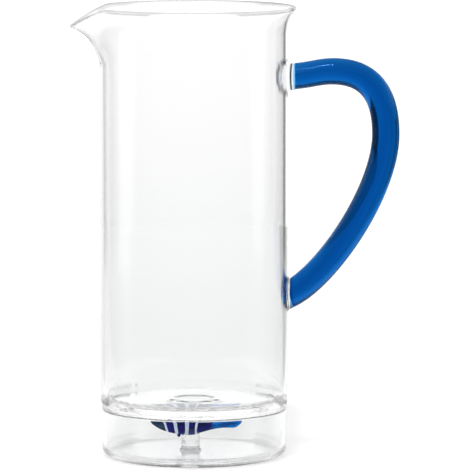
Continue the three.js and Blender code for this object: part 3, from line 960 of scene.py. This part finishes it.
class JUG_OT_fish(Operator):
    """Builds the fish's head, bands, body and tail as slices of one skin."""

    bl_idname = "jug.fish"
    bl_label = "Fish"

    def execute(self, context):
        fish = context.scene.fish_sizes
        colours = context.scene.jug_colours
        materials = {
            kind: enamel_material(
                f"{colour}_{word}", getattr(colours, colour),
                getattr(colours, colour + "_streak"), roughness)
            for kind, (colour, word, roughness, _) in FISH_FINISHES.items()}
        start = 0.0
        for name, end in FISH_STRETCHES:
            kind = name.split("_")[0]
            _, word, _, slot = FISH_FINISHES[kind]
            swell = fish.band_swell if kind == "band" else 0.0
            piece = skin_piece(f"fish_{name}_{word}", fish_slice(start, end, fish, swell))
            finish_piece(piece, materials[kind], f"fish_{name}")
            start = end
        return {"FINISHED"}


def leaf(start, end, thickness, reach, direction, fish):
    """Grid of a fin along the skin: ellipses whose height and width swell and fade as powers of
    the sine of the share of its length, with their middles on the skin."""
    across = np.linspace(0, 1, FIN_ROWS)[:, None]
    angle = even_angles(FIN_COLUMNS)[None, :]
    share = (start + (end - start) * across - FISH_NOSE) / FISH_LENGTH
    belly, back, _ = fish_section(share, fish)
    skin = back if direction > 0 else -belly
    swell = np.sin(np.pi * across)
    return np.stack([
        start + (end - start) * across + 0 * angle,
        thickness / 2 * swell ** 0.5 * np.cos(angle),
        fish.axis_height + skin + reach * swell ** 0.7 * np.sin(angle)], -1)


class JUG_OT_fish_trim(Operator):
    """Builds the belly fin, the back fin and the two eyes, which are half circles turned about
    their upright line."""

    bl_idname = "jug.fish_trim"
    bl_label = "Fins and eyes"

    def execute(self, context):
        fish = context.scene.fish_sizes
        colours = context.scene.jug_colours
        material = enamel_material("fin_enamel", colours.indigo, colours.indigo_streak, 0.1)
        for fin, direction, reach in (("belly_fin", -1, 1.6 * MM), ("back_fin", 1, 1.5 * MM)):
            low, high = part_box(f"fish_{fin}")
            grid = leaf(low.x, high.x, FIN_THICKNESS, reach, direction, fish)
            piece = skin_piece(f"{fin}_enamel", grid)
            finish_piece(piece, material, f"fish_{fin}")
        material = enamel_material("eye_enamel", colours.eye, colours.eye_streak, 0.05)
        turn = np.linspace(-np.pi / 2, np.pi / 2, EYE_ROWS)
        half_circle = np.stack([np.cos(turn), np.sin(turn)], 1) * fish.eye_radius
        for side in ("left", "right"):
            node = f"fish_eye_{side}"
            ball = revolved(half_circle, FIN_COLUMNS)
            piece = skin_piece(f"eye_{side}_glass", ball + middle_of(node))
            finish_piece(piece, material, node)
        return {"FINISHED"}


# Handle and welds

FOOT_ANGLE = math.radians(27)
FOOT_PULL = 22.5 * MM
RISE_PULL = 6.9 * MM
CROWN_RISE_PULL_SHARE = 0.325
CROWN_PULL_SHARE = 0.63
BOW_UP_PULL_SHARE = 0.7
BOW_DOWN_PULL_SHARE = 0.349
THICKENING_START = 0.1
THICKENING_SHARE = 0.25
CAP_SHARES = (0.0, 0.25, 0.5, 0.75)
UPPER_FLARE = 2.6 * MM
UPPER_FLARE_SHARE = 0.3
UPPER_RING = 0.45 * MM
UPPER_RING_START = 0.36
LOWER_FLARE = 1.2 * MM
LOWER_FLARE_SHARE = 0.8
LOWER_STRETCH = 1.12
JOINT_BEND = 0.05
HAZE_START = 0.15
HAZE_LENGTH = 0.35


def rod_line(sizes, handle):
    """Middle line of the rod in the X-Z plane: three cubic curves and a straight foot."""
    root = sizes.tube_radius - 5 * MM
    upper, lower = weld_faces()
    crown, crown_z = handle.crown_reach, handle.crown_height
    bow, bow_z = handle.bow_reach, handle.bow_height
    foot_z = handle.foot_height
    outline = Outline(root, handle.top_height)
    outline.curve(
        (upper + RISE_PULL, handle.top_height),
        (crown - (bow - crown) * CROWN_RISE_PULL_SHARE, crown_z), (crown, crown_z), 200)
    outline.curve(
        (crown + (bow - crown) * CROWN_PULL_SHARE, crown_z),
        (bow, bow_z + (crown_z - bow_z) * BOW_UP_PULL_SHARE), (bow, bow_z), 300)
    outline.curve(
        (bow, bow_z - (bow_z - foot_z) * BOW_DOWN_PULL_SHARE),
        (lower + FOOT_PULL * math.cos(FOOT_ANGLE), foot_z + FOOT_PULL * math.sin(FOOT_ANGLE)),
        (lower, foot_z), 500)
    outline.line(root, foot_z - (lower - root) * math.tan(FOOT_ANGLE), 60)
    return outline.points()


def crossing(values, row, level):
    """Row and part of a row where each column passes the level: the row before, plus the share
    of the last step that is needed."""
    columns = np.arange(values.shape[1])
    before = values[row - 1, columns]
    return row - 1 + (level - before) / (values[row, columns] - before)


def rod_grid(sizes, handle):
    """Round rod along its middle line. Each lengthwise line starts on the flat upper face and
    ends on the cylinder of the lower weld, so the rows run evenly between the two faces."""
    line = rod_line(sizes, handle)
    step = np.gradient(line, axis=0)
    step /= np.hypot(step[:, 0], step[:, 1])[:, None]
    normal = np.stack([-step[:, 1], step[:, 0]], 1)
    angle = even_angles(ROD_COLUMNS)
    along = np.linspace(0, 1, len(line))[:, None]
    swell = handle.foot_radius - handle.rod_radius
    radius = handle.rod_radius + swell * ease((along - THICKENING_START) / THICKENING_SHARE)
    far = radius * np.cos(angle)
    x = line[:, :1] + normal[:, :1] * far
    y = -radius * np.sin(angle)
    z = line[:, 1:] + normal[:, 1:] * far
    upper, lower = weld_faces()
    begin = crossing(x, np.argmax(x > upper, 0), upper)
    reach = np.hypot(x, y)
    finish = crossing(reach, np.argmax((reach < lower) & (z < handle.bow_height), 0), lower)
    where = begin + (finish - begin) * np.linspace(0, 1, ROD_ROWS)[:, None]
    place = np.arange(len(line), dtype=float)
    skin = np.stack([
        np.stack([np.interp(where[:, c], place, part[:, c]) for c in range(ROD_COLUMNS)], 1)
        for part in (x, y, z)], -1)
    skin[0, :, 0] = upper
    skin[-1, :, 0] = np.sqrt(lower ** 2 - skin[-1, :, 1] ** 2)
    return skin


def capped(skin, first_x, last_x):
    """The skin closed at both ends: rings shrink to the end's middle in Y and Z, and their X
    comes from the end's face."""
    caps = []
    for ring, face in ((skin[0], first_x), (skin[-1], last_x)):
        middle = ring.mean(0)
        rings = []
        for share in CAP_SHARES:
            flat = middle + (ring - middle) * share
            flat[:, 0] = face(flat[:, 1])
            rings.append(flat)
        caps.append(np.array(rings))
    return np.concatenate([caps[0], skin, caps[1][::-1]])


def flat_face(reach):
    """X of a flat face: the same for every Y."""
    return lambda y: np.full_like(y, reach)


def round_face(radius):
    """X of a face on a cylinder: the root of the radius squared less Y squared."""
    return lambda y: np.sqrt(radius ** 2 - y ** 2)


class JUG_OT_handle(Operator):
    """Builds the bent rod of blue glass."""

    bl_idname = "jug.handle"
    bl_label = "Handle"

    def execute(self, context):
        upper, lower = weld_faces()
        rod = rod_grid(context.scene.jug_sizes, context.scene.handle_sizes)
        piece = skin_piece("handle_glass", capped(rod, flat_face(upper), round_face(lower)))
        finish_piece(piece, blue_material("blue_rod", handle_fused), "handle")
        return {"FINISHED"}


def upper_profile():
    """Share of the way from the tube to the rod, and radius, of the upper weld's outline: a
    flared foot, a groove and a second, narrower ring."""
    rod = bpy.context.scene.handle_sizes.rod_radius
    share = np.linspace(0, 1, 30)
    ring = np.clip((share - UPPER_RING_START) / (1 - UPPER_RING_START), 0, 1)
    radius = (rod + UPPER_FLARE * (1 - ease(share / UPPER_FLARE_SHARE))
              + UPPER_RING * np.sin(np.pi * ring) ** 2)
    return np.stack([share, radius], 1)


def lower_profile():
    """The lower weld's outline: one short flare."""
    rod = bpy.context.scene.handle_sizes.foot_radius
    share = np.linspace(0, 1, 14)
    return np.stack([share, rod + LOWER_FLARE * (1 - ease(share / LOWER_FLARE_SHARE))], 1)


def weld_grid(profile, middle, stretch, foot, face):
    """Collar between the tube and the rod: each ring is an ellipse in Y and Z, and its X goes
    from the tube's wall to the rod's face by the profile's share."""
    angle = even_angles(ROD_COLUMNS)
    share, radius = profile[:, :1], profile[:, 1:]
    y = -radius * np.sin(angle)
    z = middle + stretch * radius * np.cos(angle)
    near = foot(y)
    x = near + share * (face(y) - near)
    return np.stack([x, y, z], -1)


class JUG_OT_welds(Operator):
    """Builds the two clear welds between the tube and the handle. Each lets a share of the light
    straight through and has a painted dark line, a painted shade that is a bell of the way along
    it round the joint. Past the line, the upper weld turns hazy."""

    bl_idname = "jug.welds"
    bl_label = "Handle welds"

    def execute(self, context):
        handle = context.scene.handle_sizes
        foot = round_face(context.scene.jug_sizes.tube_radius)
        upper, lower = weld_faces()
        for weld, profile, middle, stretch, face, fused, clear, joint, width in (
                ("upper", upper_profile(), UPPER_WELD_Z, 1.0, flat_face(upper),
                 upper_weld_fused, 0.89, 0.48, 0.115),
                ("lower", lower_profile(), LOWER_WELD_Z, LOWER_STRETCH, round_face(lower),
                 lower_weld_fused, 0.6, 0.4, 0.075)):
            name = f"{weld}_weld_glass"
            grid = capped(weld_grid(profile, middle, stretch, foot, face), foot, face)
            piece = skin_piece(name, grid)
            along = (np.arange(len(grid)) - len(CAP_SHARES)) / (len(profile) - 1)
            place = joint - JOINT_BEND * (grid[..., 1] / handle.rod_radius) ** 2
            past = along[:, None] - place
            # The thin_line mark is a painted dark line round the joint
            mark_points(piece, fine_edge=np.full((len(grid), 1), clear),
                        thin_line=np.exp(-(past / width) ** 2))
            if weld == "upper":
                mark_points(piece, rod_haze=ease((past - HAZE_START) / HAZE_LENGTH))
            material = glass_material(name + "_clear", fused)
            finish_piece(piece, material, f"handle_weld_{weld}")
        return {"FINISHED"}


# Studio

# Angles from straight behind the jug, in degrees, between which the parts of the wall come in.
# A strip or gap comes in between the first two and goes out between the last two.
RIGHT_CARD = (19, 28)
LEFT_WALL = (9, 15)
LEFT_STRIP = (27, 33, 40, 47)
LEFT_GAP = (50, 57, 70, 78)
BEHIND_CAMERA = (90, 108)

# Heights between which they come in, as sines of the angle above the horizon
WALL_FOOT = (-0.13, -0.06)
WALL_RISE = (0.0, 0.28)
CARD_TOPS = (0.1, 0.2)
CEILING_EDGE = (0.3, 0.6)

# The table in metres, and the distances between which its painted light and shade change
TABLE_RADIUS = 1.1
TABLE_TOP = -0.06 * MM
TABLE_UNDERSIDE = -20 * MM
FAR_TABLE = (0.7, 1.0)
OPEN_TABLE = (0.24, 0.32)
NEAR_TABLE = (0.22, 0.32)
# Painted light: the table is a little brighter beside the tube
BESIDE_TUBE = (0.052, 0.064)
BESIDE_PAINTED_LIGHT = 0.09
CLOUD_GAIN = 0.03
CLOTH_EDGE = (-0.13, -0.06)

# Angles between which painted shade fades it on the right, on the left and on both sides, and
# what is lost
TABLE_FADES = ((21, 28, 0.18), (13, 20, 0.2), (35, 70, 0.5))

# Painted shade: the right part of the table is darker past a line that leans away from the camera
DARK_RIGHT = (0.158, 0.19)
DARK_RIGHT_LEAN = 0.0524
DARK_RIGHT_LOSS = 0.4

# The softbox, and the point that it is aimed at, in metres
SOFTBOX_SIZE = (0.8, 0.26)
SOFTBOX_PLACE = (-0.3, -0.94, 1.95)
SOFTBOX_AIM = (0.06, 0, 0.2)


def side_cards(tree, azimuth, light):
    """Share of the wall's light by the angle from straight behind the jug, positive to the
    right: a dark card on the right, and a narrow grey strip and a duller wall on the left."""
    right = tree.turn_step(azimuth, *RIGHT_CARD, 1.0, light.right_card)
    left = azimuth * -1.0
    wall = tree.turn_step(left, *LEFT_WALL, 1.0, light.left_wall)
    for (start, full, end, gone), share in (
            (LEFT_STRIP, light.left_strip), (LEFT_GAP, light.left_gap)):
        shade = tree.turn_step(left, start, full) - tree.turn_step(left, end, gone)
        wall = wall + shade * (share - light.left_wall)
    return right * wall


def make_world(light):
    """White wall behind the jug, brighter towards the top. Low cards stand on both sides, and
    the room behind the camera and the ceiling are dark."""
    world = bpy.data.worlds.new("studio")
    bpy.context.scene.world = world
    tree = Tree(world)
    parts = tree.node("SeparateXYZ", {0: tree.node("TexCoord")["Generated"]})
    azimuth = parts["X"].angle_from(parts["Y"])
    up = parts["Z"]
    wall = tree.smooth_step(up, *WALL_FOOT, light.wall_low, light.wall_middle)
    wall = wall + tree.smooth_step(up, *WALL_RISE, 0.0, light.wall_high - light.wall_middle)
    cards = side_cards(tree, azimuth, light)
    wall = wall * (cards + (1.0 - cards) * tree.smooth_step(up, *CARD_TOPS))
    wall = wall + (light.room - wall) * tree.turn_step(abs(azimuth), *BEHIND_CAMERA)
    strength = wall + (light.ceiling - wall) * tree.smooth_step(up, *CEILING_EDGE)
    background = tree.node("Background", {"Color": opaque(WHITE), "Strength": strength})
    tree.node("OutputWorld", {"Surface": background["Background"]})


def painted_table_light(tree, where, x, y, reach, light):
    """Share of the table's light, a painted light and shade. Out from the jug it fades towards
    both sides, and at the far edge it is the share of the wall and its cards. It is painted
    darker close to the jug, a little brighter beside the tube and darker in the right part, and
    it is faintly cloudy all over."""
    tube = bpy.context.scene.jug_sizes.tube_radius
    side = (abs(x) - tube).either(0.0).angle_from(y + 0.02)
    turn = side * tree.math("SIGN", x)
    fade = 1.0
    for angle, (start, end, loss) in zip((turn, turn * -1.0, side), TABLE_FADES):
        fade = fade - tree.turn_step(angle, start, end, 0.0, loss)
    far = tree.smooth_step(reach, *FAR_TABLE)
    share = fade + (side_cards(tree, turn, light) - fade) * far
    share = 1.0 + (share - 1.0) * tree.smooth_step(reach, *OPEN_TABLE)
    share = share * tree.smooth_step(y, 0.3, TABLE_RADIUS, light.table_near_shade, 1.0)
    beside = tree.smooth_step(abs(x), *BESIDE_TUBE)
    beside = beside * tree.smooth_step(reach, *NEAR_TABLE, 1.0, 0.0)
    cloud = tree.noise(where, 6.0, 2.0) - 0.5
    share = share * (1.0 + BESIDE_PAINTED_LIGHT * beside + CLOUD_GAIN * cloud)
    # Painted shade on the right part of the table
    painted_shade_right = tree.smooth_step(x - y * DARK_RIGHT_LEAN, *DARK_RIGHT)
    return share * (1.0 - DARK_RIGHT_LOSS * painted_shade_right)


def make_floor(colours, light):
    """Round white table top just under the jug. It is lit from below, which keeps the jug's
    shadow soft, and its painted light and shade scale both its colour and that glow. In front of
    the jug lies a dark cloth, a painted shade for the glass to reflect."""
    outline = Outline(0, TABLE_TOP)
    outline.line(TABLE_RADIUS, TABLE_TOP, 4)
    outline.line(TABLE_RADIUS, TABLE_UNDERSIDE, 1)
    outline.line(0, TABLE_UNDERSIDE, 1)
    floor = skin_piece("studio_floor", revolved(outline.points()[::-1], TABLE_COLUMNS))
    material, tree, where, x, y, _ = new_material("white_table")
    reach = radius_of(x, y)
    share = painted_table_light(tree, where, x, y, reach, light)
    # The cloth in front is painted shade: dark, and without the table's glow
    behind = tree.smooth_step(y, *CLOTH_EDGE)
    tree.end(Surface=tree.node("BsdfPrincipled", {
        "Base Color": tree.mix_colours(
            behind, colours.front_shade_cloth, tree.mix_colours(share, BLACK, colours.floor)),
        "Emission Color": tree.mix_colours(
            behind, BLACK, tree.mix_colours(share, BLACK, WHITE)),
        "Emission Strength": light.table_glow,
        "Roughness": tree.smooth_step(reach, 0.1, 0.4, 0.5, 0.6),
        "Specular IOR Level": 0.1})["BSDF"])
    floor.data.materials.append(material)


def make_camera(light):
    """Camera in front of the jug, looking slightly down."""
    data = bpy.data.cameras.new("camera")
    data.lens = light.lens
    data.sensor_width = 36
    data.clip_end = 100
    camera = bpy.data.objects.new("camera", data)
    drop = light.camera_height - light.aim_height
    camera.location = (light.camera_side, -light.camera_distance, light.camera_height)
    camera.rotation_euler = (math.pi / 2 - math.atan(drop / light.camera_distance), 0, 0)
    bpy.context.scene.collection.objects.link(camera)
    bpy.context.scene.camera = camera


def make_softbox(light):
    """Large, weak softbox above, in front and a little to the left, which shows as a short
    streak on the rising part of the handle."""
    data = bpy.data.lights.new("softbox", "AREA")
    data.shape = "RECTANGLE"
    data.size, data.size_y = SOFTBOX_SIZE
    data.energy = light.softbox_power
    softbox = bpy.data.objects.new("softbox", data)
    softbox.location = SOFTBOX_PLACE
    aim = Vector(SOFTBOX_AIM) - softbox.location
    softbox.rotation_euler = aim.to_track_quat("-Z", "Y").to_euler()
    bpy.context.scene.collection.objects.link(softbox)


class JUG_OT_stage(Operator):
    """Builds the white table, the studio light and the camera."""

    bl_idname = "jug.stage"
    bl_label = "Studio"

    def execute(self, context):
        scene = context.scene
        light = scene.studio_light
        make_world(light)
        make_floor(scene.jug_colours, light)
        make_softbox(light)
        make_camera(light)
        scene.view_settings.view_transform = "Standard"
        scene.cycles.seed = light.samples_seed
        scene.cycles.max_bounces = 64
        scene.cycles.transmission_bounces = 64
        scene.cycles.glossy_bounces = 8
        scene.cycles.diffuse_bounces = 3
        scene.cycles.transparent_max_bounces = 24
        scene.cycles.caustics_reflective = True
        scene.cycles.caustics_refractive = True
        return {"FINISHED"}


PROPERTY_GROUPS = {
    "jug_sizes": JugSizes,
    "fish_sizes": FishSizes,
    "handle_sizes": HandleSizes,
    "jug_colours": JugColours,
    "studio_light": StudioLight,
}

BUILD_ORDER = (
    JUG_OT_vessel, JUG_OT_seam, JUG_OT_base_cup, JUG_OT_post, JUG_OT_fish, JUG_OT_fish_trim,
    JUG_OT_handle, JUG_OT_welds, JUG_OT_stage)


class JUG_PT_build(Panel):
    """Lists the jug's build steps and sizes in the sidebar."""

    bl_idname = "JUG_PT_build"
    bl_label = "Glass jug"
    bl_space_type = "VIEW_3D"
    bl_region_type = "UI"
    bl_category = "Jug"

    def draw(self, context):
        for step in BUILD_ORDER:
            self.layout.operator(step.bl_idname)
        for name in PROPERTY_GROUPS:
            group = getattr(context.scene, name)
            column = self.layout.column()
            for key in group.__annotations__:
                column.prop(group, key)


def register():
    """Registers the property groups, the operators and the panel."""
    for name, group in PROPERTY_GROUPS.items():
        bpy.utils.register_class(group)
        setattr(bpy.types.Scene, name, PointerProperty(type=group))
    for made in (*BUILD_ORDER, JUG_PT_build):
        bpy.utils.register_class(made)


def unregister():
    """Takes away what register added, the last first."""
    for made in reversed((*BUILD_ORDER, JUG_PT_build)):
        bpy.utils.unregister_class(made)
    for name, group in reversed(PROPERTY_GROUPS.items()):
        delattr(bpy.types.Scene, name)
        bpy.utils.unregister_class(group)


def main():
    """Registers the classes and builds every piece."""
    register()
    for step in BUILD_ORDER:
        group, name = step.bl_idname.split(".")
        getattr(getattr(bpy.ops, group), name)()


if __name__ == "__main__":
    main()
